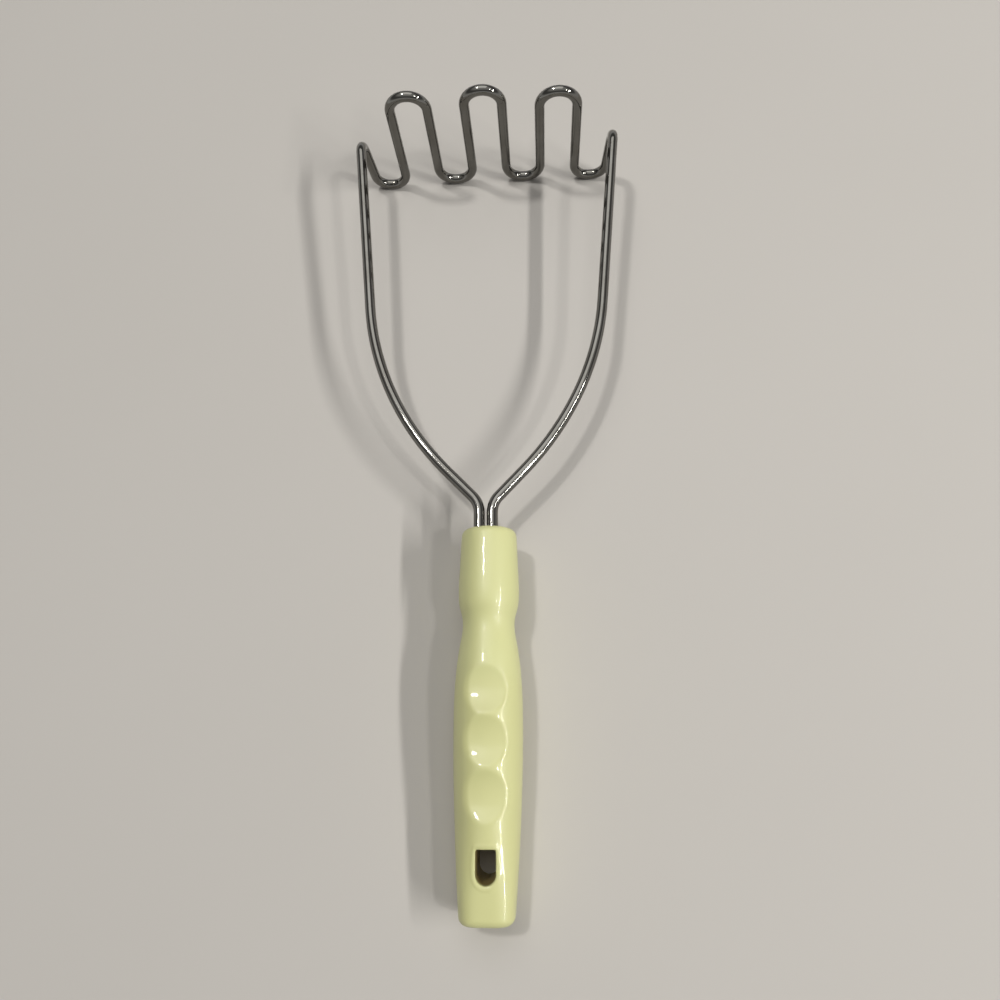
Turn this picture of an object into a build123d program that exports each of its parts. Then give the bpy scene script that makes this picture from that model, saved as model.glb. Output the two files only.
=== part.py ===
"""Potato masher: one bent wire held in a moulded handle, lying on a table as it rests when put down.

Millimetres. +Z is up, +Y runs from the handle to the mashing end and X runs across. Each piece is drawn along
the handle's own axis, with the head's wire line at y = 0. Then both are tipped together until the lower bends
of the head and the underside of the handle touch the table, and moved so that the origin is the middle of the
underside of their common box.
"""
from build123d import *
import os
from math import acos, atan2, degrees, hypot, tan

# From the butt end of the handle to the line of the head's legs
masher_length = 265.7

# Wire: tangs in the handle, neck, shoulders and tips of the two arms
wire_diameter = 3.66
tang_gap = 0.56
tang_depth = 57.0
neck_gap = 9.1
neck_bend_radius = 7.7
shoulder_run = 36.6
shoulder_half_width = 37.3
shoulder_bend_share = 0.70
tip_bend_radius = 6.0

# Head: the wave of upright legs that does the mashing
leg_pitch = 13.5
head_height = 43.7
head_drop = 2.6
bend_radius_share = 0.49
end_bend_width = 11.95
end_bend_radius_share = 0.47
tip_splay = 1.9
left_foot_lean = 1.2
right_foot_lean = 0.5
upper_bend_rise_shares = (0.0, 0.027, -0.020)

# Handle, from the butt end to the mouth: radii, and the lengths between them
butt_radius = 7.9
grip_length = 51.7
grip_radius = 10.4
waist_length = 30.5
waist_radius = 8.0
flare_length = 8.9
collar_radius = 9.4
collar_length = 21.6
mouth_radius = 8.6
butt_rounding = 2.0
mouth_rounding = 2.2
handle_offset = 1.1

# Outline between two stations: (share of the distance, share of the change in radius)
butt_to_grip_shares = ((0.24, 0.38), (0.50, 0.70), (0.76, 0.915))
grip_to_waist_shares = ((0.27, 0.02), (0.47, 0.145), (0.66, 0.375), (0.82, 0.68))
waist_to_collar_shares = ((0.30, 0.16), (0.62, 0.70))
collar_to_mouth_shares = ((0.37, 0.22), (0.72, 0.60))

# Finger dimples in the upper side of the grip
dimple_count = 3
dimple_start = 25.7
dimple_pitch = 15.4
dimple_ridge = 1.2
dimple_depth = 1.5

# Hang hole: straight side towards the head, round side towards the butt
hole_width = 5.6
hole_length = 9.3
hole_place = 10.4

socket_clearance = 0.05
overrun = 5.0
outline_samples = 400

# Worked out from the sizes above
wire_radius = wire_diameter / 2
tang_x = (wire_diameter + tang_gap) / 2
upper_bend_count = len(upper_bend_rise_shares)
outer_leg_x = leg_pitch * (2 * upper_bend_count - 1) / 2
foot_x = outer_leg_x + end_bend_width
tip_x = foot_x + tip_splay
head_low = -head_drop - head_height / 2
head_high = head_height / 2 - head_drop
waist_place = grip_length + waist_length
collar_place = waist_place + flare_length
handle_length = collar_place + collar_length
butt_y = -masher_length
mouth_y = butt_y + handle_length
neck_y = mouth_y + neck_gap
shoulder_y = neck_y + shoulder_run


def between(start, end, shares):
    """Stations (distance, radius) on the way from one named station of the outline to the next."""
    return [
        (start[0] + (end[0] - start[0]) * along_share, start[1] + (end[1] - start[1]) * change_share)
        for along_share, change_share in shares
    ]


def handle_outline():
    """Half of the handle's outline, one smooth curve from the butt's edge to the mouth's edge."""
    butt = (0.0, butt_radius)
    grip = (grip_length, grip_radius)
    waist = (waist_place, waist_radius)
    collar = (collar_place, collar_radius)
    mouth = (handle_length, mouth_radius)
    stations = [butt, *between(butt, grip, butt_to_grip_shares)]
    stations += [grip, *between(grip, waist, grip_to_waist_shares)]
    stations += [waist, *between(waist, collar, waist_to_collar_shares)]
    stations += [collar, *between(collar, mouth, collar_to_mouth_shares), mouth]
    return Spline([(radius, butt_y + distance) for distance, radius in stations])


def skin_radius(skin, y):
    """Radius of the handle at a place along its axis, read from close points of its outline."""
    return min(skin, key=lambda point: abs(point.Y - y)).X


def dimple(skin, y):
    """The round bar across the handle that presses one finger dimple into the grip's upper side."""
    half_length = (dimple_pitch - dimple_ridge) / 2
    radius = (half_length**2 + dimple_depth**2) / (2 * dimple_depth)
    floor = skin_radius(skin, y) - dimple_depth
    return Pos(0, y, floor + radius) * Rot(0, 90, 0) * Cylinder(radius, 2 * (grip_radius + overrun))


def hang_hole():
    """The D-shaped bar that opens the hang hole right through the handle."""
    radius = hole_width / 2
    round_y = butt_y + hole_place + radius
    straight_y = butt_y + hole_place + hole_length
    straight_part = Pos(0, (round_y + straight_y) / 2) * Rectangle(hole_width, straight_y - round_y)
    return extrude(straight_part + Pos(0, round_y) * Circle(radius), amount=grip_radius + overrun, both=True)


def socket():
    """The oblong socket in the handle's mouth, which both tangs fill side by side."""
    mouth = Plane(origin=(-handle_offset, mouth_y, 0), x_dir=(1, 0, 0), z_dir=(0, -1, 0))
    opening = mouth * SlotCenterToCenter(2 * tang_x, wire_diameter + 2 * socket_clearance)
    return extrude(opening, amount=tang_depth + socket_clearance) + extrude(opening, amount=-overrun)


def make_handle(outline, skin):
    """The moulded handle: a turned body with rounded ends, finger dimples, hang hole and socket."""
    ends = Polyline((mouth_radius, mouth_y), (0, mouth_y), (0, butt_y), (butt_radius, butt_y))
    body = revolve(make_face(Curve() + [outline, ends]), axis=Axis.Y)
    body = fillet(body.edges().filter_by(GeomType.CIRCLE).sort_by(Axis.Y)[0], butt_rounding)
    body = fillet(body.edges().filter_by(GeomType.CIRCLE).sort_by(Axis.Y)[-1], mouth_rounding)
    for index in range(dimple_count):
        body -= dimple(skin, butt_y + dimple_start + dimple_pitch * (index + 1 / 2))
    body -= hang_hole()
    body -= socket()
    return Pos(handle_offset, 0, 0) * body


def arm_points(foot_lean):
    """Corners of one arm, from its tang's end inside the handle to the foot of the outermost leg."""
    return [
        (tang_x, mouth_y - tang_depth, 0),
        (tang_x, neck_y, 0),
        (shoulder_half_width, shoulder_y, 0),
        (tip_x, 0, 0),
        (foot_x, -foot_lean, head_low),
        (outer_leg_x, -foot_lean, head_low),
    ]


def arm_radii():
    """Bend radii at the corners of one arm, from the neck to the foot of the outermost leg."""
    across = shoulder_half_width - tang_x
    turn = atan2(across, shoulder_run) - atan2(tip_x - shoulder_half_width, -shoulder_y)
    shoulder_bend_radius = hypot(across, shoulder_run) * shoulder_bend_share / tan(turn / 2)
    end_bend_radius = end_bend_width * end_bend_radius_share
    return [neck_bend_radius, shoulder_bend_radius, tip_bend_radius, end_bend_radius, end_bend_radius]


def wave_points():
    """Corners of the wave between the two outermost feet, from left to right."""
    corners = []
    for index, rise_share in enumerate(upper_bend_rise_shares):
        left = leg_pitch * 2 * index - outer_leg_x
        right = left + leg_pitch
        top = head_high + head_height * rise_share
        corners += [(left, 0, top), (right, 0, top)]
        if index < upper_bend_count - 1:
            corners += [(right, 0, head_low), (right + leg_pitch, 0, head_low)]
    return corners


def make_route():
    """The centre line of the whole wire, from one tang's end to the other's."""
    right = arm_points(right_foot_lean)
    left = [(-x, y, z) for x, y, z in arm_points(left_foot_lean)]
    wave = wave_points()
    radii = arm_radii() + [leg_pitch * bend_radius_share] * len(wave) + arm_radii()[::-1]
    return FilletPolyline(left + wave + right[::-1], radius=radii)


def make_wire(route):
    """The whole wire, one round bar swept along its centre line."""
    section = Plane(origin=route @ 0, z_dir=route % 0) * Circle(wire_radius)
    return sweep(section, path=route)


def lie_angle(skin):
    """Angle in degrees that brings the lower bends and the underside of the handle down to one table."""
    angles = []
    for point in skin:
        rise = -head_low - point.X
        reach = -point.Y
        angles.append(acos(-wire_radius / hypot(rise, reach)) - atan2(reach, rise))
    return degrees(min(angles))


outline = handle_outline()
skin = [outline @ (step / outline_samples) for step in range(outline_samples + 1)]
route = make_route()

lie = Rot(lie_angle(skin), 0, 0)
pieces = {"masher_wire": lie * make_wire(route), "handle": lie * make_handle(outline, skin)}
box = Compound([piece.solid() for piece in pieces.values()]).bounding_box()
stand = Pos(-(box.min.X + box.max.X) / 2, -(box.min.Y + box.max.Y) / 2, -box.min.Z)

os.makedirs("parts", exist_ok=True)
for name, piece in pieces.items():
    placed = stand * piece
    export_step(placed, f"parts/{name}.step")
    print(name, len(placed.solids()), "solid, valid", placed.is_valid, "volume", round(placed.volume, 1))
print("wire length", round(route.length, 1), "lie angle", round(lie_angle(skin), 3), "box", box.size)
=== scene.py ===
"""Potato masher: one bent plated wire held in a moulded cream handle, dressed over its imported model.

Blender's lengths are metres, in the part's frame: +Z is up, +Y runs towards the mashing end, and the floor
is at z = 0. The sizes of the pieces are millimetres, drawn along the handle's own axis as in the part's
source, and Lie tips and moves the finished shapes into the frame.
"""
import logging
from dataclasses import dataclass
from enum import Enum
from typing import Any

import bpy
import numpy as np
from mathutils import Euler, Matrix, Vector


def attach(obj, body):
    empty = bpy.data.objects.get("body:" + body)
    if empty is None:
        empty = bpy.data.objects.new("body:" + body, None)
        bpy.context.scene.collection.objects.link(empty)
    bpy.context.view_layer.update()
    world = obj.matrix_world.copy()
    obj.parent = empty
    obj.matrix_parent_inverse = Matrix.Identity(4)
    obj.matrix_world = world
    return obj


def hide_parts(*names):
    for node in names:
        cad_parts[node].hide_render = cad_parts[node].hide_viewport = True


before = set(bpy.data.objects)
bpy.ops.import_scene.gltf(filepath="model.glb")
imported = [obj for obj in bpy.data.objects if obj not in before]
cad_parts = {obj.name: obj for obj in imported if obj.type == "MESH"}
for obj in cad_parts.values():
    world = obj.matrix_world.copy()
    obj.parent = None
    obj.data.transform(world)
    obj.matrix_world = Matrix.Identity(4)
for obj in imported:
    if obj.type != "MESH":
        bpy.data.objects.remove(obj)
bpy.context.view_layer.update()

log = logging.getLogger("masher")

Array = np.ndarray
Span = tuple[float, float]
Shares = tuple[Span, ...]
Triple = tuple[float, float, float]
Colour = tuple[float, float, float, float]

# One millimetre, in metres.
MILLIMETRE = 0.001
# From the handle's butt to the line of the legs, in millimetres.
MASHER_LENGTH = 265.7
# How far the handle's mouth lies to the right, and its butt to the left, in millimetres.
ASKEW = 0.24
# The least that a length is divided by.
NEVER_ZERO = 1e-9


class Slot(Enum):
    """The record's material slots."""

    WIRE = "plated_wire"
    HANDLE = "cream_plastic"


def unit(vectors: Array) -> Array:
    """Vectors divided by their own lengths."""
    return vectors / np.linalg.norm(vectors, axis=-1, keepdims=True)


def ease(values: Array, low: float, high: float) -> Array:
    """Smooth step: 0 below low, 1 above high, and 3t^2 - 2t^3 between them."""
    share = np.clip((values - low) / (high - low), 0.0, 1.0)
    return share * share * (3 - 2 * share)


def blurred(values: Array, step: float, width: float) -> Array:
    """Values along a line, averaged with a bell curve that is cut off at three widths.

    Args:
        values: Samples in rows, evenly spaced along the first axis.
        step: Distance between samples.
        width: Standard deviation of the bell, in the same unit as step.

    Returns:
        Samples of the same shape. Beyond each end the line is taken to run straight on.
    """
    reach = int(np.ceil(3 * width / step))
    bell = np.exp(-0.5 * (np.arange(-reach, reach + 1) * step / width) ** 2)
    bell /= bell.sum()
    rows = values.reshape(len(values), -1)
    steps = np.arange(1, reach + 1)[:, None]
    before = rows[0] - steps[::-1] * (rows[1] - rows[0])
    after = rows[-1] + steps * (rows[-1] - rows[-2])
    longer = np.concatenate([before, rows, after])
    windows = np.lib.stride_tricks.sliding_window_view(longer, len(bell), axis=0)
    return (windows @ bell).reshape(values.shape)


def curve_through(places: Array, heights: Array, wanted: Array) -> Array:
    """Natural cubic curve through stations.

    One cubic runs between neighbours. They meet with equal slope and bend, and the ends have no bend.

    Args:
        places: Places of the stations, rising.
        heights: Heights at the stations.
        wanted: Places at which the curve is read.

    Returns:
        Heights at the wanted places.
    """
    gap = np.diff(places)
    count = len(places)
    system = np.eye(count)
    inner = np.arange(1, count - 1)
    system[inner, inner - 1] = gap[:-1]
    system[inner, inner] = 2 * (gap[:-1] + gap[1:])
    system[inner, inner + 1] = gap[1:]
    slopes = np.diff(heights) / gap
    right = np.zeros(count)
    right[1:-1] = 6 * np.diff(slopes)
    bend = np.linalg.solve(system, right)
    index = np.clip(np.searchsorted(places, wanted) - 1, 0, count - 2)
    width = gap[index]
    ahead = places[index + 1] - wanted
    behind = wanted - places[index]
    cubic = (bend[index] * ahead**3 + bend[index + 1] * behind**3) / (6 * width)
    line = heights[index] * ahead / width + heights[index + 1] * behind / width
    sag = (bend[index] * ahead + bend[index + 1] * behind) * width / 6
    return cubic + line - sag


def soft_least(first: Array, second: Array, softness: Array) -> Array:
    """The smaller of two values, with a parabola where they differ by less than the softness."""
    share = np.clip(0.5 + 0.5 * (second - first) / softness, 0.0, 1.0)
    return second + (first - second) * share - softness * share * (1 - share)


def grid_faces(indices: Array) -> Array:
    """Four-sided faces between neighbouring rows and columns of vertex numbers.

    Args:
        indices: Vertex numbers in rows and columns. The last column meets the first.

    Returns:
        Faces in rows of four, which look towards (next column) x (next row).
    """
    beside = np.roll(indices, -1, axis=1)
    corners = [indices[:-1], beside[:-1], beside[1:], indices[1:]]
    return np.stack(corners, axis=-1).reshape(-1, 4)


def fan_faces(ring: Array, pole: int) -> Array:
    """Three-sided faces that close a ring of vertex numbers to one pole."""
    return np.stack([ring, np.roll(ring, -1), np.full(len(ring), pole)], axis=1)


@dataclass(frozen=True)
class Lie:
    """How the masher lies on the floor: tipped about X, then moved. The part's source works both out."""

    angle: float = 3.9375
    move: Triple = (-0.0053, 130.992, 26.3147)

    def place(self, points: Array) -> Array:
        """Points in the part's frame, metres, from points along the handle's own axis, millimetres.

        Args:
            points: Rows of x, y, z.

        Returns:
            Rows of x, y, z after the turn y' = y cos - z sin, z' = y sin + z cos and the move.
        """
        turn = np.radians(self.angle)
        across, along, height = points.T
        tipped = [across, along * np.cos(turn) - height * np.sin(turn)]
        tipped.append(along * np.sin(turn) + height * np.cos(turn))
        return (np.stack(tipped, axis=1) + np.array(self.move)) * MILLIMETRE


LIE = Lie()


def make_object(name: str, points: Array, faces: list[Array], own: Array) -> bpy.types.Object:
    """A smooth mesh object in the part's frame.

    Args:
        name: Name of the object and its mesh.
        points: Rows of x, y, z along the handle's own axis, millimetres.
        faces: Arrays of faces, each with one number of corners.
        own: A vector for each vertex, kept as the attribute "own" for patterns that follow the surface.

    Returns:
        The object, at the origin, unturned and unscaled.
    """
    mesh = bpy.data.meshes.new(name)
    listed = [face for block in faces for face in block.tolist()]
    mesh.from_pydata(LIE.place(points).tolist(), [], listed)
    layer = mesh.attributes.new("own", "FLOAT_VECTOR", "POINT")
    layer.data.foreach_set("vector", own.astype(np.float32).ravel())
    mesh.polygons.foreach_set("use_smooth", np.ones(len(mesh.polygons), dtype=bool))
    mesh.update()
    made = bpy.data.objects.new(name, mesh)
    bpy.context.scene.collection.objects.link(made)
    return made


class Value:
    """One output of a node. Arithmetic on it adds Math nodes to the same tree."""

    def __init__(self, nodes: "Nodes", output: bpy.types.NodeSocket | None) -> None:
        """Keeps the tree's builder and the output."""
        self.nodes = nodes
        self.output = output

    def math(self, operation: str, first: Any, second: Any) -> "Value":
        """A Math node on two values or numbers."""
        return self.nodes.add("ShaderNodeMath", {"operation": operation}, {0: first, 1: second})

    def __add__(self, other: Any) -> "Value":
        """Sum."""
        return self.math("ADD", self, other)

    def __radd__(self, other: Any) -> "Value":
        """Sum, with the number first."""
        return self.math("ADD", other, self)

    def __sub__(self, other: Any) -> "Value":
        """Difference."""
        return self.math("SUBTRACT", self, other)

    def __rsub__(self, other: Any) -> "Value":
        """Difference, with the number first."""
        return self.math("SUBTRACT", other, self)

    def __mul__(self, other: Any) -> "Value":
        """Product."""
        return self.math("MULTIPLY", self, other)

    def __rmul__(self, other: Any) -> "Value":
        """Product, with the number first."""
        return self.math("MULTIPLY", other, self)

    def __abs__(self) -> "Value":
        """Size without its sign."""
        return self.nodes.add("ShaderNodeMath", {"operation": "ABSOLUTE"}, {0: self})

    def larger(self, other: Any) -> "Value":
        """The larger of the two."""
        return self.math("MAXIMUM", self, other)


@dataclass(frozen=True)
class Grain:
    """One cloudy noise: its scale per metre, its layers and their strength, and its stretch by axis."""

    scale: float
    detail: float = 2.0
    rough: float = 0.5
    stretch: Triple = (1.0, 1.0, 1.0)


class Nodes:
    """Builds one node tree, of a material or of the world."""

    def __init__(self, tree: bpy.types.NodeTree) -> None:
        """Empties the tree."""
        self.tree = tree
        tree.nodes.clear()

    def add(self, kind: str, settings: dict[str, Any], inputs: dict[Any, Any], output: Any = 0) -> Value:
        """Adds one node.

        Args:
            kind: Type of the node.
            settings: Its own settings, set first.
            inputs: For each socket, by name or number, a number, a colour or another node's Value.
            output: Name or number of the output wanted.

        Returns:
            That output as a Value.
        """
        node = self.tree.nodes.new(kind)
        for name, setting in settings.items():
            setattr(node, name, setting)
        for name, given in inputs.items():
            if isinstance(given, Value):
                self.tree.links.new(given.output, node.inputs[name])
            else:
                node.inputs[name].default_value = given
        return Value(self, node.outputs[output]) if len(node.outputs) else Value(self, None)

    def own(self, stretch: Triple = (1.0, 1.0, 1.0)) -> Value:
        """The piece's own attribute, multiplied along each axis."""
        read = self.add("ShaderNodeAttribute", {"attribute_name": "own"}, {}, "Vector")
        return self.add("ShaderNodeMapping", {}, {"Vector": read, "Scale": stretch})

    def split(self, vector: Value, axis: str) -> Value:
        """One of the X, Y and Z parts of a vector."""
        return self.add("ShaderNodeSeparateXYZ", {}, {0: vector}, axis)

    def noise(self, grain: Grain, place: Value | None = None) -> Value:
        """Cloudy noise about 0.5.

        Args:
            grain: Its scale, layers and stretch.
            place: Where it is read, unless that is the piece's own attribute, stretched.

        Returns:
            The noise as a Value.
        """
        where = self.own(grain.stretch) if place is None else place
        sockets = {"Vector": where, "Scale": grain.scale, "Detail": grain.detail, "Roughness": grain.rough}
        return self.add("ShaderNodeTexNoise", {}, sockets)

    def fade(self, value: Value, low: float, high: float) -> Value:
        """Smooth step of a value from 0 at low to 1 at high."""
        settings = {"interpolation_type": "SMOOTHSTEP"}
        return self.add("ShaderNodeMapRange", settings, {0: value, 1: low, 2: high, 3: 0.0, 4: 1.0})

    def blend(self, share: Any, first: Any, second: Any) -> Value:
        """Mix of two colours."""
        return self.add("ShaderNodeMix", {"data_type": "RGBA"}, {0: share, 6: first, 7: second}, 2)

    def bump(self, height: Value, distance: float, normal: Value | None = None) -> Value:
        """Normal bent by a height.

        Args:
            height: The height, from 0 to 1.
            distance: What a height of 1 stands for, metres.
            normal: A normal that is bent already.

        Returns:
            The bent normal.
        """
        sockets: dict[Any, Any] = {"Height": height, "Distance": distance, "Strength": 1.0}
        if normal is not None:
            sockets["Normal"] = normal
        return self.add("ShaderNodeBump", {}, sockets)

    def seen(self) -> Value:
        """The kinds of ray that see the surroundings.

        Returns:
            1 for camera, glossy and transmission rays, and 0 for the rest.
        """
        names = ("Is Camera Ray", "Is Glossy Ray", "Is Transmission Ray")
        camera, glossy, through = [self.add("ShaderNodeLightPath", {}, {}, name) for name in names]
        return camera.larger(glossy).larger(through)

    def close(self, shader: Value) -> None:
        """Joins the finished shader to a material's output."""
        self.add("ShaderNodeOutputMaterial", {}, {"Surface": shader})


def new_material(name: str) -> tuple[bpy.types.Material, Nodes]:
    """An empty node material.

    Args:
        name: Its name.

    Returns:
        The material and the builder of its tree.
    """
    material = bpy.data.materials.new(name)
    material.use_nodes = True
    return material, Nodes(material.node_tree)


@dataclass(frozen=True)
class PlatedWireFinish:
    """Bright plated steel wire, with drawing marks along it, faint clouding and small dull specks.

    A span says between which values of its noise a mark comes in, and heights are metres.
    """

    bright: Colour = (0.17, 0.166, 0.154, 1.0)
    dull: Colour = (0.115, 0.108, 0.095, 1.0)
    roughness: float = 0.06
    clouds: Grain = Grain(70.0, 4.0, 0.6)
    cloud_span: Span = (0.38, 0.72)
    cloud_colour: float = 0.55
    cloud_rough: float = 0.04
    specks: Grain = Grain(950.0)
    speck_span: Span = (0.66, 0.74)
    speck_colour: float = 0.45
    speck_rough: float = 0.12
    marks: Grain = Grain(2600.0, 3.0, 0.6, (0.03, 1.0, 1.0))
    mark_span: Span = (0.4, 0.8)
    mark_rough: float = 0.03
    mark_height: float = 0.000004
    ripples: Grain = Grain(480.0, stretch=(0.7, 1.0, 1.0))
    ripple_height: float = 0.000010
    waves: Grain = Grain(160.0, 1.0, stretch=(0.8, 1.0, 1.0))
    wave_height: float = 0.00007

    def make(self) -> bpy.types.Material:
        """The wire's material.

        Returns:
            The material. The own attribute runs along the wire in x and around it in y and z.
        """
        material, nodes = new_material("plated_wire")
        clouds = nodes.fade(nodes.noise(self.clouds), *self.cloud_span)
        specks = nodes.fade(nodes.noise(self.specks), *self.speck_span)
        marks = nodes.noise(self.marks)
        worn = clouds * self.cloud_colour + specks * self.speck_colour
        rough = self.roughness + clouds * self.cloud_rough + specks * self.speck_rough
        rough = rough + nodes.fade(marks, *self.mark_span) * self.mark_rough
        bent = nodes.bump(nodes.noise(self.waves), self.wave_height)
        bent = nodes.bump(nodes.noise(self.ripples), self.ripple_height, bent)
        sockets = {
            "Base Color": nodes.blend(worn, self.bright, self.dull),
            "Metallic": 1.0,
            "Roughness": rough,
            "Normal": nodes.bump(marks, self.mark_height, bent),
        }
        nodes.close(nodes.add("ShaderNodeBsdfPrincipled", {}, sockets))
        return material


@dataclass(frozen=True)
class CreamPlasticFinish:
    """Glossy cream plastic: uneven gloss, hair scratches, a faint mould line and painted shade in the hang
    hole.

    A span says between which values of its noise a mark comes in, and lengths are metres.
    """

    cream: Colour = (0.705, 0.713, 0.352, 1.0)
    warm: Colour = (0.645, 0.635, 0.285, 1.0)
    # Dark brown painted into the hang hole and the socket, standing in for the shade inside them.
    painted_hollow_shade: Colour = (0.26, 0.18, 0.045, 1.0)
    roughness: float = 0.42
    mottle: Grain = Grain(55.0, 5.0, 0.62)
    mottle_span: Span = (0.35, 0.75)
    mottle_colour: float = 0.14
    mottle_rough: float = 0.03
    sinks: Grain = Grain(95.0, 1.0, stretch=(1.0, 0.55, 1.0))
    sink_height: float = 0.00016
    pores: Grain = Grain(1500.0, 3.0)
    pore_height: float = 0.0000025
    long_scratches: Grain = Grain(260.0, 1.0, stretch=(1.0, 0.12, 1.0))
    cross_scratches: Grain = Grain(190.0, 1.0, stretch=(0.16, 1.0, 0.7))
    scratch_width: float = 0.006
    scratch_patches: Grain = Grain(140.0)
    patch_span: Span = (0.52, 0.66)
    scratch_rough: float = 0.05
    scratch_height: float = 0.0000025
    line_colour: float = 0.25
    line_height: float = 0.00006
    line_width: float = 0.00022
    inside_span: Span = (0.1, 0.9)
    # How strongly that painted shade darkens the walls.
    inside_shade_share: float = 0.90
    inside_rough: float = 0.30
    coat: float = 0.42
    collar_coat: float = 0.25
    coat_roughness: float = 0.03
    dulling: Span = (0.060, 0.072)
    # How far the grip's colour is mixed towards the warmer, darker tone.
    grip_warm_share: float = 0.38

    def make(self) -> bpy.types.Material:
        """The handle's material.

        The coat is stronger on the grip than on the waist and the collar, and the grip's colour is mixed
        further towards the warmer, darker tone. The mould line is where z is 0. The attribute "inside" is 0
        on the outer skin and 1 on the walls of the hang hole and the socket, which are darkened by a painted
        shade.

        Returns:
            The material. The own attribute is the place before the handle was tipped, with y from the butt.
        """
        material, nodes = new_material("cream_plastic")
        place = nodes.own()
        mottle = nodes.fade(nodes.noise(self.mottle), *self.mottle_span)
        scratches = self.scratch_mask(nodes)
        seam = 1.0 - nodes.fade(abs(nodes.split(place, "Z")), 0.0, self.line_width)
        inside = nodes.add("ShaderNodeAttribute", {"attribute_name": "inside"}, {}, "Fac")
        inside = nodes.fade(inside, *self.inside_span)
        dull = nodes.fade(nodes.split(place, "Y"), *self.dulling)
        # The grip is mixed further towards the warmer, darker tone than the waist and the collar.
        warmth = mottle * self.mottle_colour + (1.0 - dull) * self.grip_warm_share
        colour = nodes.blend(warmth, self.cream, self.warm)
        colour = nodes.blend(seam * self.line_colour, colour, self.warm)
        # Painted shade: the walls of the hang hole and the socket are mixed towards the dark brown.
        colour = nodes.blend(inside * self.inside_shade_share, colour, self.painted_hollow_shade)
        rough = self.roughness + mottle * self.mottle_rough + scratches * self.scratch_rough
        rough = rough + inside * self.inside_rough
        normal = nodes.bump(nodes.noise(self.sinks), self.sink_height)
        normal = nodes.bump(nodes.noise(self.pores), self.pore_height, normal)
        normal = nodes.bump(1.0 - scratches, self.scratch_height, normal)
        normal = nodes.bump(seam, self.line_height, normal)
        sockets = {
            "Base Color": colour,
            "Roughness": rough,
            "Normal": normal,
            "Coat Weight": self.coat - dull * (self.coat - self.collar_coat),
            "Coat Roughness": self.coat_roughness,
        }
        nodes.close(nodes.add("ShaderNodeBsdfPrincipled", {}, sockets))
        return material

    def scratch_mask(self, nodes: Nodes) -> Value:
        """Hair scratches in patches: thin ridges of two stretched noises, each |noise - 0.5| close to 0.

        Args:
            nodes: The builder of the material's tree.

        Returns:
            1 on a scratch, up to 2 where two cross, and 0 elsewhere.
        """
        grains = (self.long_scratches, self.cross_scratches)
        ridges = [abs(nodes.noise(grain) - 0.5) for grain in grains]
        along, across = [1.0 - nodes.fade(ridge, 0.0, self.scratch_width) for ridge in ridges]
        return (along + across) * nodes.fade(nodes.noise(self.scratch_patches), *self.patch_span)


@dataclass(frozen=True)
class PaleFloorFinish:
    """Matt, slightly uneven pale floor that fades into the surroundings away from the object. Metres."""

    pale: Colour = (0.60, 0.575, 0.54, 1.0)
    darker: Colour = (0.57, 0.545, 0.51, 1.0)
    clouds: Grain = Grain(6.0, 3.0)
    roughness: float = 0.75
    shine: float = 0.25
    fading: Span = (0.40, 1.40)

    def make(self, surround: Colour, strength: float) -> bpy.types.Material:
        """The material, on Object coordinates.

        Args:
            surround: Colour of the pale surroundings.
            strength: Their strength at the horizon.

        Returns:
            The floor's material.
        """
        material, nodes = new_material("pale_floor")
        place = nodes.add("ShaderNodeTexCoord", {}, {}, "Object")
        sockets = {
            "Base Color": nodes.blend(nodes.noise(self.clouds, place), self.pale, self.darker),
            "Roughness": self.roughness,
            "Specular IOR Level": self.shine,
        }
        near = nodes.add("ShaderNodeBsdfPrincipled", {}, sockets)
        away = nodes.add("ShaderNodeEmission", {}, {"Color": surround, "Strength": strength})
        distance = nodes.add("ShaderNodeVectorMath", {"operation": "LENGTH"}, {0: place}, "Value")
        share = nodes.fade(distance, *self.fading) * nodes.seen()
        nodes.close(nodes.add("ShaderNodeMixShader", {}, {0: share, 1: near, 2: away}))
        return material


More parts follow.
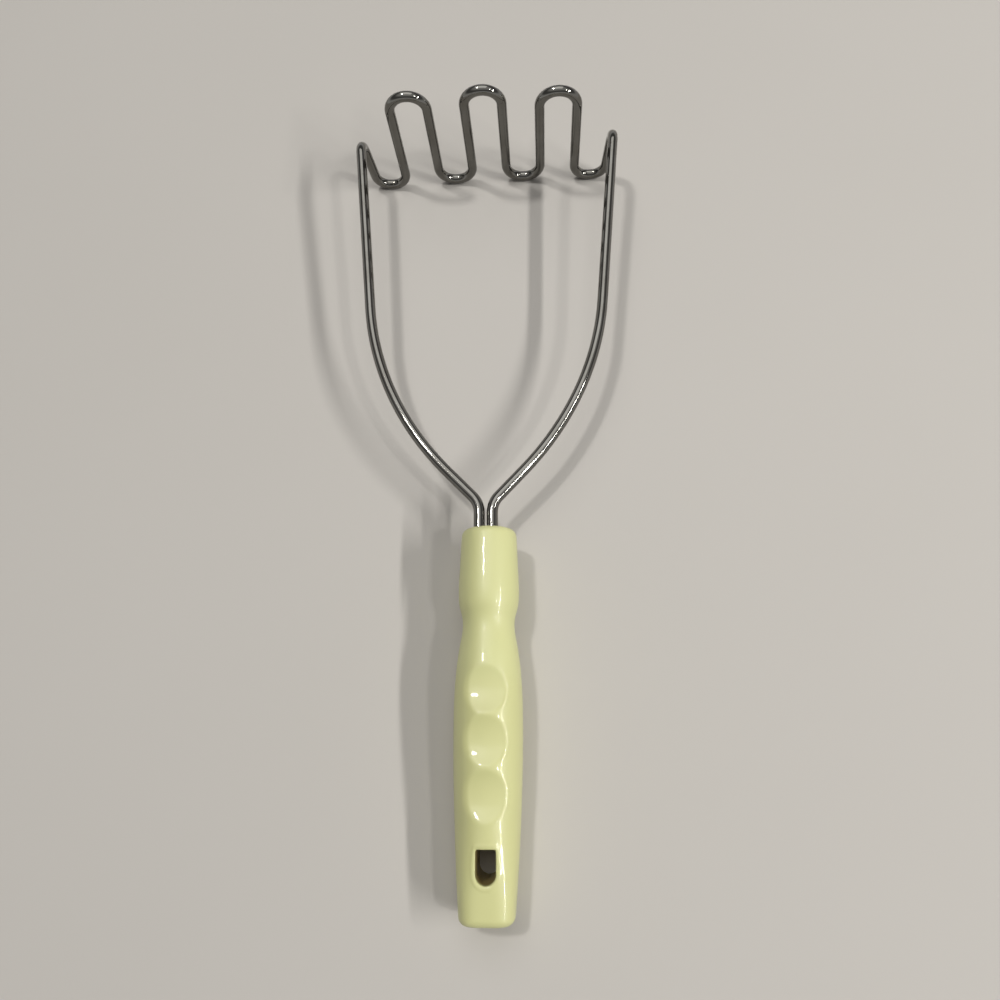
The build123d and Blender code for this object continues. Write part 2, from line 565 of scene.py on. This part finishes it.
@dataclass(frozen=True)
class Wire:
    """The whole wire: two tangs, neck bends, two arms, tips, and the wave of upright legs. Millimetres."""

    masher_length: float = MASHER_LENGTH
    diameter: float = 3.64
    tang_gap: float = 0.58
    tang_depth: float = 57.0
    handle_length: float = 112.7
    neck_gap: float = 9.1
    neck_bend_radius: float = 7.7
    shoulder_run: float = 36.6
    shoulder_half_width: float = 37.3
    shoulder_bend_share: float = 0.70
    tip_bend_radius: float = 6.0
    leg_pitch: float = 13.5
    head_height: float = 43.7
    head_drop: float = 2.6
    bend_radius_share: float = 0.49
    end_bend_width: float = 11.95
    end_bend_radius_share: float = 0.47
    tip_splay: float = 1.9
    left_foot_lean: float = 1.2
    right_foot_lean: float = 0.5
    rise_shares: tuple[float, ...] = (0.0, 0.027, -0.020)
    askew_fade: float = 45.0
    step: float = 0.5
    sides: int = 32
    arc_samples: int = 40

    def arm_corners(self, foot_lean: float) -> Array:
        """Corners of the right arm, from its tang's end to the foot of the outermost leg.

        Args:
            foot_lean: How far the foot leans back towards the handle.

        Returns:
            Rows of x, y, z.
        """
        mouth = self.handle_length - self.masher_length
        neck = mouth + self.neck_gap
        tang = (self.diameter + self.tang_gap) / 2
        outer = self.leg_pitch * (2 * len(self.rise_shares) - 1) / 2
        foot = outer + self.end_bend_width
        low = -self.head_drop - self.head_height / 2
        return np.array(
            [
                (tang, mouth - self.tang_depth, 0.0),
                (tang, neck, 0.0),
                (self.shoulder_half_width, neck + self.shoulder_run, 0.0),
                (foot + self.tip_splay, 0.0, 0.0),
                (foot, -foot_lean, low),
                (outer, -foot_lean, low),
            ]
        )

    def arm_radii(self) -> Array:
        """Bend radii at the arm's corners, from the neck to the foot.

        The shoulder's arc takes up its share of the run before it: radius = run share / tan(half its turn).

        Returns:
            One radius for each corner.
        """
        corners = self.arm_corners(0.0)
        run = corners[2] - corners[1]
        rise = corners[3] - corners[2]
        turn = np.arctan2(run[0], run[1]) - np.arctan2(rise[0], rise[1])
        shoulder = np.hypot(run[0], run[1]) * self.shoulder_bend_share / np.tan(turn / 2)
        end = self.end_bend_width * self.end_bend_radius_share
        return np.array([self.neck_bend_radius, shoulder, self.tip_bend_radius, end, end])

    def wave_corners(self) -> Array:
        """Corners of the wave between the two outermost feet, from left to right.

        Returns:
            Rows of x, y, z.
        """
        count = len(self.rise_shares)
        lefts = self.leg_pitch * (2 * np.arange(count) - (2 * count - 1) / 2)
        low = -self.head_drop - self.head_height / 2
        tops = self.head_height * (0.5 + np.array(self.rise_shares)) - self.head_drop
        across = np.repeat(lefts, 4) + self.leg_pitch * np.tile([0, 1, 1, 2], count)
        heights = np.stack([tops, tops, np.full(count, low), np.full(count, low)], axis=1).ravel()
        return np.stack([across, np.zeros(4 * count), heights], axis=1)[:-2]

    def centre_line(self) -> tuple[Array, Array]:
        """The wire's centre line.

        Each corner is rounded by an arc that leaves one run r / tan(half the inner angle) before the corner
        and joins the next as far after it. The arc blends its two end radii by the sines of its angle. The
        arcs' points, joined by the straight runs between them, are then read at even steps.

        Returns:
            Rows of x, y, z at even steps, and the distance of each from the start.
        """
        left = self.arm_corners(self.left_foot_lean) * np.array([-1.0, 1.0, 1.0])
        wave = self.wave_corners()
        right = self.arm_corners(self.right_foot_lean)[::-1]
        corners = np.concatenate([left, wave, right])
        bend = self.leg_pitch * self.bend_radius_share
        arm = self.arm_radii()
        radii = np.concatenate([arm, np.full(len(wave), bend), arm[::-1]])
        back = unit(corners[:-2] - corners[1:-1])
        ahead = unit(corners[2:] - corners[1:-1])
        inner = np.arccos(np.clip((back * ahead).sum(1), -1, 1))
        turn = np.pi - inner
        reach = (radii / np.tan(inner / 2))[:, None]
        centre = corners[1:-1] + unit(back + ahead) * (radii / np.sin(inner / 2))[:, None]
        leave = corners[1:-1] + back * reach - centre
        join = corners[1:-1] + ahead * reach - centre
        share = np.linspace(0, 1, self.arc_samples)[None, :, None]
        angle = turn[:, None, None]
        arcs = np.sin((1 - share) * angle) * leave[:, None] + np.sin(share * angle) * join[:, None]
        arcs = centre[:, None] + arcs / np.sin(angle)
        points = np.concatenate([corners[:1], arcs.reshape(-1, 3), corners[-1:]])
        walked = np.concatenate([[0.0], np.cumsum(np.linalg.norm(np.diff(points, axis=0), axis=1))])
        count = int(np.ceil(walked[-1] / self.step)) + 1
        even = np.linspace(0, walked[-1], count)
        line = np.stack([np.interp(even, walked, part) for part in points.T], axis=1)
        return line, even

    def side_step(self, along: Array) -> Array:
        """The tangs lie as far askew as the handle, and the step fades out over the start of the arms.

        Args:
            along: Places along the handle's axis, from the line of the legs.

        Returns:
            One sideways step for each place.
        """
        mouth = self.handle_length - self.masher_length
        inside = ASKEW * (1 + 2 * np.minimum(along - mouth, 0.0) / self.handle_length)
        return inside * (1 - ease(along, mouth, mouth + self.askew_fade))

    def tube(self) -> tuple[Array, list[Array], Array]:
        """The wire's surface.

        A circle is carried along the centre line: point = centre + r (n cos a + b sin a). T is the line's
        direction, n is the fixed direction (0, 1, 1) made square to T, which never runs along it, and b is
        T x n.

        Returns:
            Points, faces, and for each point its place along and around the wire in metres.
        """
        line, walked = self.centre_line()
        ahead = unit(np.gradient(line, axis=0))
        fixed = np.array([0.0, 1.0, 1.0]) / np.sqrt(2)
        first = unit(fixed - (ahead @ fixed)[:, None] * ahead)
        line[:, 0] += self.side_step(line[:, 1])
        second = np.cross(ahead, first)
        angle = np.linspace(0, 2 * np.pi, self.sides, endpoint=False)
        cosine, sine = np.cos(angle), np.sin(angle)
        radius = self.diameter / 2
        around = first[:, None] * cosine[None, :, None] + second[:, None] * sine[None, :, None]
        points = (line[:, None] + radius * around).reshape(-1, 3)
        indices = np.arange(len(points)).reshape(len(line), self.sides)
        start, end = len(points), len(points) + 1
        points = np.concatenate([points, line[:1], line[-1:]])
        faces = [grid_faces(indices), fan_faces(indices[0], start)[:, ::-1], fan_faces(indices[-1], end)]
        own = np.zeros((len(points), 3))
        own[:start, 0] = np.repeat(walked, self.sides)
        own[:start, 1] = np.tile(radius * cosine, len(line))
        own[:start, 2] = np.tile(radius * sine, len(line))
        own[end, 0] = walked[-1]
        return points, faces, own * MILLIMETRE

    def build(self) -> bpy.types.Object:
        """The wire's mesh object."""
        points, faces, own = self.tube()
        return make_object("masher_wire_bar", points, faces, own)

    def dress(self, piece: bpy.types.Object) -> None:
        """Gives the wire its finish and its place in the part.

        Args:
            piece: The wire's mesh object.
        """
        piece.data.materials.append(PlatedWireFinish().make())
        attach(piece, "root")
        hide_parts("masher_wire")


@dataclass(frozen=True)
class HangHole:
    """The D-shaped hang hole, seen from above. Places are distances from the butt, millimetres.

    Spread rings lead from the handle's grid to the near rings, which start ring_reach out from the edge. Rim
    rings and wall rings lead down. The inside values give the painted shade on the rim and how it deepens
    below.
    """

    width: float = 5.75
    length: float = 9.2
    place: float = 10.85
    middle: float = 15.6
    corner_power: float = 12.0
    rim: float = 0.45
    lip: float = 0.10
    lip_place: float = 1.0
    lip_width: float = 0.5
    margin: float = 2.4
    ring_reach: float = 1.9
    spread_rings: int = 4
    near_rings: int = 10
    wall_rings: int = 24
    # How far inside each ring is, which sets the painted shade on the rim and the walls.
    rim_inside: tuple[float, ...] = (0.0, 0.0, 0.04, 0.1, 0.2, 0.35)
    wall_inside: float = 0.5
    wall_growth: float = 0.2

    def reach(self, angle: Array) -> Array:
        """Distance from the hole's middle to its edge.

        Towards the mouth, the edge is |x / a|^p + |y / b|^p = 1, a rectangle with rounded corners. Towards
        the butt, it is the straight side x = a as far as the round end's centre, and then that end's circle.

        Args:
            angle: Directions from the middle, measured from +X towards the mouth.

        Returns:
            One distance for each direction.
        """
        half = self.width / 2
        ahead = self.place + self.length - self.middle
        back = self.middle - self.place - half
        across = np.abs(np.cos(angle))
        along = np.sin(angle)
        power = self.corner_power
        front = ((across / half) ** power + (np.abs(along) / ahead) ** power) ** (-1 / power)
        side = half / np.maximum(across, NEVER_ZERO)
        square = np.maximum((back * along) ** 2 - back**2 + half**2, 0.0)
        circle = -back * along + np.sqrt(square)
        behind = np.where(side * np.abs(along) <= back, side, circle)
        return np.where(along >= 0, front, behind)


@dataclass(frozen=True)
class Handle:
    """The moulded handle: turned body, rounded ends, finger dimples, hang hole and socket. Millimetres.

    The shares shape the skin between two stations: how far along, and how much of the change is done.
    """

    masher_length: float = MASHER_LENGTH
    offset: float = 1.1
    butt_radius: float = 7.9
    grip_length: float = 51.7
    grip_radius: float = 10.4
    waist_length: float = 30.5
    waist_radius: float = 8.0
    flare_length: float = 8.9
    collar_radius: float = 9.4
    collar_length: float = 21.6
    mouth_radius: float = 8.6
    butt_rounding: float = 2.0
    mouth_rounding: float = 2.2
    grip_shares: Shares = ((0.24, 0.38), (0.50, 0.70), (0.76, 0.915))
    waist_shares: Shares = ((0.27, 0.02), (0.47, 0.145), (0.66, 0.375), (0.82, 0.68))
    collar_shares: Shares = ((0.30, 0.16), (0.62, 0.70))
    mouth_shares: Shares = ((0.37, 0.22), (0.72, 0.60))
    dimple_count: int = 3
    dimple_start: float = 25.7
    dimple_pitch: float = 15.4
    dimple_ridge: float = 1.2
    dimple_depth: float = 1.42
    dimple_blur: float = 0.4
    dimple_step: float = 0.1
    dimple_softness: float = 0.35
    left_softness: float = 1.1
    left_edge: Span = (0.40, 0.70)
    dimple_crown: float = 36.0
    bar_share: float = 0.98
    least_rise: float = 0.05
    butt_power: float = 3.3
    round_from: float = 27.0
    tang_middle: float = 2.11
    socket_radius: float = 1.88
    socket_depth: float = 57.05
    socket_rim: float = 0.3
    # How far inside the socket's rim is, which sets its painted shade.
    rim_inside: float = 0.5
    columns: int = 168
    row_step: float = 0.45
    edge_rows: int = 10
    butt_rows: int = 10
    face_rows: int = 6
    rim_rows: int = 6
    wall_rows: int = 15
    hole: HangHole = HangHole()

    @property
    def length(self) -> float:
        """From the butt to the mouth."""
        return self.grip_length + self.waist_length + self.flare_length + self.collar_length

    def skin(self, place: Array) -> Array:
        """Radius of the turned skin, by a natural cubic through the stations.

        Args:
            place: Distances from the butt.

        Returns:
            One radius for each distance.
        """
        knots = [(0.0, self.butt_radius), (self.grip_length, self.grip_radius)]
        knots.append((self.grip_length + self.waist_length, self.waist_radius))
        knots.append((knots[-1][0] + self.flare_length, self.collar_radius))
        knots.append((self.length, self.mouth_radius))
        stations = [knots[0]]
        tables = (self.grip_shares, self.waist_shares, self.collar_shares, self.mouth_shares)
        for start, end, shares in zip(knots, knots[1:], tables):
            gap, change = end[0] - start[0], end[1] - start[1]
            stations += [(start[0] + gap * along, start[1] + change * part) for along, part in shares]
            stations.append(end)
        places, radii = np.array(stations).T
        return curve_through(places, radii, place)

    def dimple_floor(self, place: Array) -> Array:
        """Height of the dimples' floors above the axis, along the handle's middle.

        Each is the underside of a round bar laid across: floor + R - sqrt(R^2 - t^2), with t the distance
        from the dimple's middle, kept under R. The lowest counts, and a bell curve along the handle softens
        the ridges between them.

        Args:
            place: Distances from the butt.

        Returns:
            One height for each distance.
        """
        half = (self.dimple_pitch - self.dimple_ridge) / 2
        bar = (half**2 + self.dimple_depth**2) / (2 * self.dimple_depth)
        fine = np.arange(0, self.length + self.dimple_step, self.dimple_step)
        middles = self.dimple_start + self.dimple_pitch * (np.arange(self.dimple_count) + 0.5)
        floors = self.skin(middles) - self.dimple_depth
        away = np.clip(np.abs(fine[:, None] - middles), 0, self.bar_share * bar)
        bars = floors + bar - np.sqrt(bar**2 - away**2)
        return np.interp(place, fine, blurred(bars.min(axis=1), self.dimple_step, self.dimple_blur))

    def power(self, place: Array) -> Array:
        """Power of the upper half's section: squarish at the butt, and 2, round, from the dimples on."""
        return 2 + (self.butt_power - 2) * (1 - ease(place, 0.0, self.round_from))

    def side_step(self, place: Array) -> Array:
        """The handle lies a hair askew: a straight line, left at the butt and right at the mouth."""
        return ASKEW * (2 * place / self.length - 1)

    def rounded_ends(self, place: Array) -> Array:
        """How much the rounded edges take off the radius: r - sqrt(r^2 - (r - d)^2) within r of an end.

        Args:
            place: Distances from the butt.

        Returns:
            One cut for each distance.
        """
        butt = np.clip(self.butt_rounding - place, 0, self.butt_rounding)
        mouth = np.clip(self.mouth_rounding - (self.length - place), 0, self.mouth_rounding)
        cut = self.butt_rounding - np.sqrt(self.butt_rounding**2 - butt**2)
        return cut + self.mouth_rounding - np.sqrt(self.mouth_rounding**2 - mouth**2)

    def row_places(self) -> Array:
        """Places of the skin's rows, close together on the rounded edges.

        Returns:
            Distances from the butt.
        """
        turn = np.linspace(0, np.pi / 2, self.edge_rows)
        start = self.butt_rounding * (1 - np.cos(turn))
        end = self.length - self.mouth_rounding * (1 - np.cos(turn[::-1]))
        count = int((end[0] - start[-1]) / self.row_step)
        return np.concatenate([start, np.linspace(start[-1], end[0], count)[1:-1], end])

    def socket_reach(self, angle: Array) -> Array:
        """Distance from the wire's middle to the oblong socket's edge.

        The edge is flat, r / |cos|, as far as a tang's centre c, and beyond it that tang's circle,
        c |sin| + sqrt(r^2 - c^2 cos^2).

        Args:
            angle: Directions, measured from up towards +X.

        Returns:
            One distance for each direction.
        """
        rise, run = np.abs(np.cos(angle)), np.abs(np.sin(angle))
        flat = self.socket_radius / np.maximum(rise, NEVER_ZERO)
        square = np.maximum(self.socket_radius**2 - (self.tang_middle * rise) ** 2, 0.0)
        circle = self.tang_middle * run + np.sqrt(square)
        return np.where(flat * run <= self.tang_middle, flat, circle)

    def skin_radius(self, place: Array, across: Array, height: Array) -> Array:
        """Radius of the finished skin, dimples and rounded ends included.

        In the upper half the section is |x / R|^p + |z / R|^p = 1, which is the radius
        R (|sin a|^p + |cos a|^p)^(-1 / p) at angle a from straight up. The skin's radius is the softened
        smaller of that and (floor - x^2 / 2 crown) / cos a, less the rounded ends. On the outer left the
        crossing of the two is softer.

        Args:
            place: Distances from the butt.
            across: The sine of each angle.
            height: The cosine of each angle.

        Returns:
            Radii, a row for each place and a column for each angle.
        """
        skin = self.skin(place)[:, None]
        crowned = self.dimple_floor(place)[:, None] - (skin * across) ** 2 / (2 * self.dimple_crown)
        flat = crowned / np.maximum(height, self.least_rise)[None, :]
        power = self.power(place)[:, None]
        square = (np.abs(across) ** power + np.abs(height) ** power) ** (-1 / power)
        turned = skin * np.where(height > 0, square, 1.0)
        outer_left = ease(-across, *self.left_edge)
        soft = self.dimple_softness + (self.left_softness - self.dimple_softness) * outer_left
        radius = np.where(height > self.least_rise, soft_least(turned, flat, soft), turned)
        return radius - self.rounded_ends(place)[:, None]

    def socket_rows(self, angle: Array, mouth: Array) -> tuple[Array, Array]:
        """Rows over the mouth's face, round the socket's rim and down its wall to the tangs' ends.

        The face's rows blend from the mouth's circle to the rim's oblong. On the rim the oblong's edge is
        wider by r (1 - sin t) and sunk by r (1 - cos t).

        Args:
            angle: Angles from straight up.
            mouth: The skin's last row.

        Returns:
            Points in rows and columns, and how far inside each row is.
        """
        across, height = np.sin(angle), np.cos(angle)
        edge = self.socket_reach(angle)
        turn = np.linspace(0, np.pi / 2, self.rim_rows)[:, None]
        sunk = self.socket_rim * (1 - np.cos(turn))
        reach = edge + self.socket_rim * (1 - np.sin(turn))
        rim = np.stack([reach * across, self.length - sunk + 0 * reach, reach * height], axis=-1)
        share = np.linspace(0, 1, self.face_rows + 2)[1:-1, None, None]
        face = (1 - share) * mouth + share * rim[0]
        depth = np.linspace(self.socket_rim, self.socket_depth, self.wall_rows + 1)[1:, None]
        wall = [edge * across + 0 * depth, self.length - depth + 0 * edge, edge * height + 0 * depth]
        points = np.concatenate([face, rim, np.stack(wall, axis=-1)])
        inside = [np.zeros(self.face_rows), np.linspace(0, self.rim_inside, self.rim_rows)]
        return points, np.concatenate([*inside, np.ones(self.wall_rows)])

    def rows(self) -> tuple[Array, Array, int]:
        """The handle as one grid: rows from the butt's middle, over skin and mouth, into the socket.

        Returns:
            Points in rows and columns, how far inside each row is, and the row at which the skin starts.
        """
        angle = np.linspace(0, 2 * np.pi, self.columns, endpoint=False)
        across, height = np.sin(angle), np.cos(angle)
        place = self.row_places()
        radius = self.skin_radius(place, across, height)
        butt_shares = np.linspace(1 / self.butt_rows, 1, self.butt_rows)[:-1, None]
        radius = np.concatenate([butt_shares * radius[0], radius])
        place = np.concatenate([np.zeros(len(butt_shares)), place])
        along = np.repeat(place[:, None], self.columns, axis=1)
        outer = np.stack([self.offset + radius * across, along, radius * height], axis=-1)
        inner, inside = self.socket_rows(angle, outer[-1])
        inside = np.concatenate([np.zeros(len(outer)), inside])
        return np.concatenate([outer, inner]), inside, len(butt_shares)

    def hole_strip(self, top: Array) -> tuple[Array, Array]:
        """The strip of rings from the skin above, over the rim, down the hang hole and out below.

        Each ring lies on rays from the hole's middle. Outside the rim its plan is a blend of the grid's edge
        and the hole's edge, and its height is R (1 - |x / R|^p)^(1 / p) with a low bell-shaped lip. Below,
        p is 2. On the rim the offset is r (1 - cos t) and the drop r (1 - sin t), and between the rims the
        wall is straight.

        Args:
            top: The grid's edge round the hole above, in order. The one below has the same places along the
                handle, but lies nearer the middle where the upper half is squarish.

        Returns:
            Points in rings and columns, and how far inside each ring is.
        """
        hole = self.hole
        plan = top[:, :2] - np.array([self.offset, hole.middle])
        angle = np.arctan2(plan[:, 1], plan[:, 0])
        ray = np.stack([np.cos(angle), np.sin(angle)], axis=1)
        edge = hole.reach(angle)
        turn = np.linspace(np.pi / 2, 0, len(hole.rim_inside) + 1)[1:]
        near = np.linspace(hole.ring_reach, hole.rim, hole.near_rings)
        offsets = np.concatenate([near, hole.rim * (1 - np.cos(turn))])
        drops = np.concatenate([0 * near, hole.rim * (1 - np.sin(turn))])
        lips = hole.lip * np.exp(-(((offsets - hole.lip_place) / hole.lip_width) ** 2))
        close = ray[None] * (edge[None] + offsets[:, None])[..., None]
        share = np.linspace(0, 1, hole.spread_rings + 2)[1:-1, None, None]
        spread = (1 - share) * plan[None] + share * close[:1]
        flat = np.concatenate([spread, close]) + np.array([self.offset, hole.middle])
        skin = self.skin(flat[..., 1])
        aside = np.abs(flat[..., 0] - self.offset) / skin
        power = self.power(flat[..., 1])
        rise = np.concatenate([np.zeros(hole.spread_rings), lips - drops])[:, None]
        upper = skin * (1 - aside**power) ** (1 / power) + rise
        lower = -skin * np.sqrt(1 - aside**2) - rise
        above = np.concatenate([flat, upper[..., None]], axis=-1)
        below = np.concatenate([flat, lower[..., None]], axis=-1)[::-1]
        down = np.linspace(0, 1, hole.wall_rings + 2)[1:-1, None, None]
        wall = (1 - down) * above[-1] + down * below[0]
        inside = np.concatenate([np.zeros(hole.spread_rings + hole.near_rings), np.array(hole.rim_inside)])
        walls = np.minimum(1.0, hole.wall_inside + hole.wall_growth * np.arange(hole.wall_rings))
        return np.concatenate([above, wall, below]), np.concatenate([inside, walls, inside[::-1]])

    def mesh(self) -> tuple[Array, list[Array], Array, Array]:
        """The handle's whole mesh.

        The rectangles of the grid over and under the hang hole are left out, and the strip of rings joins
        them. Points that no face uses any more are dropped.

        Returns:
            Points, faces, own places in metres, and how far inside each point is.
        """
        grid, inside, first = self.rows()
        count, columns = grid.shape[:2]
        indices = np.arange(count * columns).reshape(count, columns)
        hole = self.hole
        places = grid[first:, 0, 1]
        low = int(np.searchsorted(places, hole.place - hole.margin)) + first
        high = int(np.searchsorted(places, hole.place + hole.length + hole.margin)) + first
        spread = np.arcsin((hole.width / 2 + hole.ring_reach) / self.butt_radius)
        wide = int(np.ceil(spread / (2 * np.pi / columns)))
        sides = np.arange(-wide, wide + 1)
        ups = np.arange(low, high + 1)
        rows = np.concatenate([np.full(2 * wide, low), ups[:-1], np.full(2 * wide, high), ups[:0:-1]])
        steps = [sides[:-1], np.full(len(ups) - 1, wide), sides[:0:-1], np.full(len(ups) - 1, -wide)]
        around = np.concatenate(steps)
        top = indices[rows, around % columns]
        bottom = indices[rows, (columns // 2 - around) % columns]
        points = grid.reshape(-1, 3)
        strip, strip_inside = self.hole_strip(points[top])
        rings = np.arange(strip.shape[0] * strip.shape[1]).reshape(strip.shape[:2]) + len(points)
        rings = np.concatenate([top[None], rings, bottom[None]])
        kept = np.ones((count - 1, columns), dtype=bool)
        gone = np.arange(low, high)[:, None]
        kept[gone, (np.arange(-wide, wide) % columns)[None]] = False
        kept[gone, ((columns // 2 + np.arange(-wide, wide)) % columns)[None]] = False
        faces = [grid_faces(indices)[kept.ravel()], grid_faces(rings)]
        points = np.concatenate([points, strip.reshape(-1, 3)])
        flags = np.concatenate([np.repeat(inside, columns), np.repeat(strip_inside, strip.shape[1])])
        poles = np.array([[self.offset, 0.0, 0.0], [0.0, self.length - self.socket_depth, 0.0]])
        faces.append(fan_faces(indices[0], len(points))[:, ::-1])
        faces.append(fan_faces(indices[-1], len(points) + 1))
        points = np.concatenate([points, poles])
        flags = np.concatenate([flags, [0.0, 1.0]])
        own = points * MILLIMETRE
        points[:, 0] += self.side_step(points[:, 1])
        points[:, 1] -= self.masher_length
        used = np.unique(np.concatenate([block.ravel() for block in faces]))
        renumbered = np.full(len(points), -1)
        renumbered[used] = np.arange(len(used))
        return points[used], [renumbered[block] for block in faces], own[used], flags[used]

    def build(self) -> bpy.types.Object:
        """The handle's mesh object.

        Returns:
            The object, with its attribute "inside".
        """
        points, faces, own, flags = self.mesh()
        made = make_object("handle_moulding", points, faces, own)
        layer = made.data.attributes.new("inside", "FLOAT", "POINT")
        layer.data.foreach_set("value", flags.astype(np.float32))
        return made

    def dress(self, piece: bpy.types.Object) -> None:
        """Gives the handle its finish and its place in the part.

        Args:
            piece: The handle's mesh object.
        """
        piece.data.materials.append(CreamPlasticFinish().make())
        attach(piece, "root")
        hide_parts("handle")


@dataclass(frozen=True)
class Lamp:
    """One soft rectangular lamp. Metres and watts."""

    name: str
    place: Triple
    width: float
    length: float
    power: float
    tint: Triple = (1.0, 0.985, 0.96)

    def build(self) -> None:
        """Hangs the lamp at its place, turned towards the part's origin, its long side along Y."""
        light = bpy.data.lights.new(self.name, "AREA")
        light.shape = "RECTANGLE"
        light.size = self.width
        light.size_y = self.length
        light.energy = self.power
        light.color = self.tint
        back = Vector(self.place).normalized()
        side = Vector((0.0, 1.0, 0.0)).cross(back).normalized()
        turn = Matrix((side, back.cross(side), back)).transposed().to_4x4()
        made = bpy.data.objects.new(self.name, light)
        made.matrix_world = Matrix.Translation(Vector(self.place)) @ turn
        bpy.context.scene.collection.objects.link(made)


@dataclass(frozen=True)
class Studio:
    """Pale floor, pale surroundings, three lamps where the photo's are, a ceiling panel, and the camera."""

    ambient: float = 0.05
    surround: Colour = (0.90, 0.89, 0.87, 1.0)
    surround_strength: float = 0.85
    band_strength: float = 0.20
    ceiling_strength: float = 0.80
    band_span: Span = (0.15, 0.45)
    ceiling_span: Span = (0.62, 0.88)
    floor_size: float = 6.0
    camera_place: Triple = (0.018618, -0.092763, 0.245325)
    camera_turn: Triple = (19.4844, 3.4374, 0.0261)
    lens: float = 27.036
    sensor: float = 36.0
    nearest: float = 0.01
    lamps: tuple[Lamp, ...] = (
        Lamp("long_lamp", (1.12, -0.34, 1.0), 0.05, 0.95, 12.6),
        Lamp("left_lamp", (-0.46, 0.32, 1.5), 0.12, 0.12, 6.0),
        Lamp("right_lamp", (0.975, -0.45, 1.5), 0.12, 0.12, 4.0),
        Lamp("ceiling_panel", (-0.1, 0.7, 1.62), 1.3, 1.5, 8.9, (1.0, 0.99, 0.97)),
    )

    def build_floor(self) -> None:
        """One large flat square at z = 0."""
        half = self.floor_size / 2
        corners = [(-half, -half, 0.0), (half, -half, 0.0), (half, half, 0.0), (-half, half, 0.0)]
        mesh = bpy.data.meshes.new("floor")
        mesh.from_pydata(corners, [], [(0, 1, 2, 3)])
        mesh.materials.append(PaleFloorFinish().make(self.surround, self.surround_strength))
        floor = bpy.data.objects.new("floor", mesh)
        bpy.context.scene.collection.objects.link(floor)

    def build_world(self) -> None:
        """Pale surroundings for the camera, the same with a darker band for gloss, and a weak even light.

        For gloss, the strength falls from the surroundings' to the band's and rises to the ceiling's, as the
        direction's Z goes through the two spans.
        """
        world = bpy.data.worlds.new("surround")
        world.use_nodes = True
        bpy.context.scene.world = world
        nodes = Nodes(world.node_tree)
        place = nodes.add("ShaderNodeTexCoord", {}, {}, "Object")
        height = nodes.split(place, "Z")
        band = nodes.fade(height, *self.band_span) * (self.surround_strength - self.band_strength)
        ceiling = nodes.fade(height, *self.ceiling_span) * (self.ceiling_strength - self.band_strength)
        glossy = nodes.add("ShaderNodeLightPath", {}, {}, "Is Glossy Ray")
        shown = self.surround_strength - glossy * (band - ceiling)
        strength = self.ambient + nodes.seen() * (shown - self.ambient)
        sky = nodes.add("ShaderNodeBackground", {}, {"Color": self.surround, "Strength": strength})
        nodes.add("ShaderNodeOutputWorld", {}, {"Surface": sky})

    def build_camera(self) -> None:
        """The photo's camera, as fitted to points measured in it."""
        camera = bpy.data.cameras.new("camera")
        camera.sensor_width = self.sensor
        camera.lens = self.lens
        camera.clip_start = self.nearest
        camera.dof.use_dof = False
        made = bpy.data.objects.new("camera", camera)
        made.location = self.camera_place
        made.rotation_euler = Euler(np.radians(self.camera_turn).tolist(), "XYZ")
        bpy.context.scene.collection.objects.link(made)
        bpy.context.scene.camera = made

    def build(self) -> None:
        """Floor, surroundings, lamps and camera."""
        self.build_floor()
        self.build_world()
        for lamp in self.lamps:
            lamp.build()
        self.build_camera()
        bpy.context.scene.view_settings.view_transform = "Standard"


def main() -> None:
    """Builds the studio and the two pieces, and logs each piece's points and faces."""
    logging.basicConfig(level=logging.INFO, format="%(name)s: %(message)s")
    Studio().build()
    for part in (Wire(), Handle()):
        piece = part.build()
        part.dress(piece)
        log.info("%s: %d points, %d faces", piece.name, len(piece.data.vertices), len(piece.data.polygons))
    bpy.context.view_layer.update()


if __name__ == "__main__":
    main()
